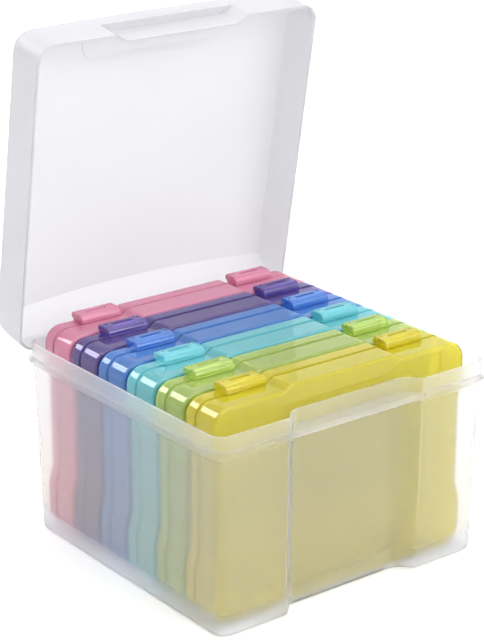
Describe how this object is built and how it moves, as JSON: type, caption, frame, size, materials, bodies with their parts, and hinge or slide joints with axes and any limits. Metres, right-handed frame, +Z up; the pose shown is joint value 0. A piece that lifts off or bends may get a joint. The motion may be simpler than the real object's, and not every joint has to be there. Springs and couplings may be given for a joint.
{
  "type": "photo case storage box",
  "caption": "Frosted storage box with a hinged lid that holds upright flat photo cases, each with a hinged back, snap latches and its own tint.",
  "frame": {"origin": "middle of the box's underside, on the surface it stands on", "axes": "+X to the right along the front, +Y from the front to the lid's hinge, +Z up"},
  "size_m": [0.2168, 0.2431, 0.3328],
  "materials": {
    "frosted_plastic": "frosted translucent polypropylene",
    "yellow_plastic": "clear yellow tinted polystyrene, polished",
    "green_plastic": "clear green tinted polystyrene, polished",
    "cyan_plastic": "clear cyan tinted polystyrene, polished",
    "blue_plastic": "clear blue tinted polystyrene, polished",
    "purple_plastic": "clear purple tinted polystyrene, polished",
    "pink_plastic": "clear pink tinted polystyrene, polished"
  },
  "bodies": {
    "box": {"box_tub": "frosted_plastic"},
    "lid": {"box_lid": "frosted_plastic"},
    "yellow_case": {"yellow_case_base": "yellow_plastic", "yellow_case_lid": "yellow_plastic"},
    "yellow_latch_left": {"yellow_latch_left": "yellow_plastic"},
    "yellow_latch_right": {"yellow_latch_right": "yellow_plastic"},
    "green_case": {"green_case_base": "green_plastic", "green_case_lid": "green_plastic"},
    "green_latch_left": {"green_latch_left": "green_plastic"},
    "green_latch_right": {"green_latch_right": "green_plastic"},
    "cyan_case": {"cyan_case_base": "cyan_plastic", "cyan_case_lid": "cyan_plastic"},
    "cyan_latch_left": {"cyan_latch_left": "cyan_plastic"},
    "cyan_latch_right": {"cyan_latch_right": "cyan_plastic"},
    "blue_case": {"blue_case_base": "blue_plastic", "blue_case_lid": "blue_plastic"},
    "blue_latch_left": {"blue_latch_left": "blue_plastic"},
    "blue_latch_right": {"blue_latch_right": "blue_plastic"},
    "purple_case": {"purple_case_base": "purple_plastic", "purple_case_lid": "purple_plastic"},
    "purple_latch_left": {"purple_latch_left": "purple_plastic"},
    "purple_latch_right": {"purple_latch_right": "purple_plastic"},
    "pink_case": {"pink_case_base": "pink_plastic", "pink_case_lid": "pink_plastic"},
    "pink_latch_left": {"pink_latch_left": "pink_plastic"},
    "pink_latch_right": {"pink_latch_right": "pink_plastic"}
  },
  "joints": [
    {"name": "lid_hinge", "type": "hinge", "parent": "box", "child": "lid", "pos_m": [0, 0.1057, 0.1194], "axis": [-1, 0, 0], "range_deg": [-80, 25]},
    {"name": "yellow_case_lift", "type": "slide", "parent": "box", "child": "yellow_case", "axis": [0, 0, 1], "range_m": [0, 0.135]},
    {"name": "yellow_latch_left_hinge", "type": "hinge", "parent": "yellow_case", "child": "yellow_latch_left", "pos_m": [-0.062, -0.0617, 0.1449], "axis": [-1, 0, 0], "range_deg": [0, 85]},
    {"name": "yellow_latch_right_hinge", "type": "hinge", "parent": "yellow_case", "child": "yellow_latch_right", "pos_m": [0.062, -0.0617, 0.1449], "axis": [-1, 0, 0], "range_deg": [0, 85]},
    {"name": "green_case_lift", "type": "slide", "parent": "box", "child": "green_case", "axis": [0, 0, 1], "range_m": [0, 0.135]},
    {"name": "green_latch_left_hinge", "type": "hinge", "parent": "green_case", "child": "green_latch_left", "pos_m": [-0.062, -0.0312, 0.1449], "axis": [-1, 0, 0], "range_deg": [0, 85]},
    {"name": "green_latch_right_hinge", "type": "hinge", "parent": "green_case", "child": "green_latch_right", "pos_m": [0.062, -0.0312, 0.1449], "axis": [-1, 0, 0], "range_deg": [0, 85]},
    {"name": "cyan_case_lift", "type": "slide", "parent": "box", "child": "cyan_case", "axis": [0, 0, 1], "range_m": [0, 0.135]},
    {"name": "cyan_latch_left_hinge", "type": "hinge", "parent": "cyan_case", "child": "cyan_latch_left", "pos_m": [-0.062, -0.0007, 0.1449], "axis": [-1, 0, 0], "range_deg": [0, 85]},
    {"name": "cyan_latch_right_hinge", "type": "hinge", "parent": "cyan_case", "child": "cyan_latch_right", "pos_m": [0.062, -0.0007, 0.1449], "axis": [-1, 0, 0], "range_deg": [0, 85]},
    {"name": "blue_case_lift", "type": "slide", "parent": "box", "child": "blue_case", "axis": [0, 0, 1], "range_m": [0, 0.135]},
    {"name": "blue_latch_left_hinge", "type": "hinge", "parent": "blue_case", "child": "blue_latch_left", "pos_m": [-0.062, 0.0298, 0.1449], "axis": [-1, 0, 0], "range_deg": [0, 85]},
    {"name": "blue_latch_right_hinge", "type": "hinge", "parent": "blue_case", "child": "blue_latch_right", "pos_m": [0.062, 0.0298, 0.1449], "axis": [-1, 0, 0], "range_deg": [0, 85]},
    {"name": "purple_case_lift", "type": "slide", "parent": "box", "child": "purple_case", "axis": [0, 0, 1], "range_m": [0, 0.135]},
    {"name": "purple_latch_left_hinge", "type": "hinge", "parent": "purple_case", "child": "purple_latch_left", "pos_m": [-0.062, 0.0603, 0.1449], "axis": [-1, 0, 0], "range_deg": [0, 85]},
    {"name": "purple_latch_right_hinge", "type": "hinge", "parent": "purple_case", "child": "purple_latch_right", "pos_m": [0.062, 0.0603, 0.1449], "axis": [-1, 0, 0], "range_deg": [0, 85]},
    {"name": "pink_case_lift", "type": "slide", "parent": "box", "child": "pink_case", "axis": [0, 0, 1], "range_m": [0, 0.135]},
    {"name": "pink_latch_left_hinge", "type": "hinge", "parent": "pink_case", "child": "pink_latch_left", "pos_m": [-0.062, 0.0908, 0.1449], "axis": [-1, 0, 0], "range_deg": [0, 85]},
    {"name": "pink_latch_right_hinge", "type": "hinge", "parent": "pink_case", "child": "pink_latch_right", "pos_m": [0.062, 0.0908, 0.1449], "axis": [-1, 0, 0], "range_deg": [0, 85]}
  ]
}
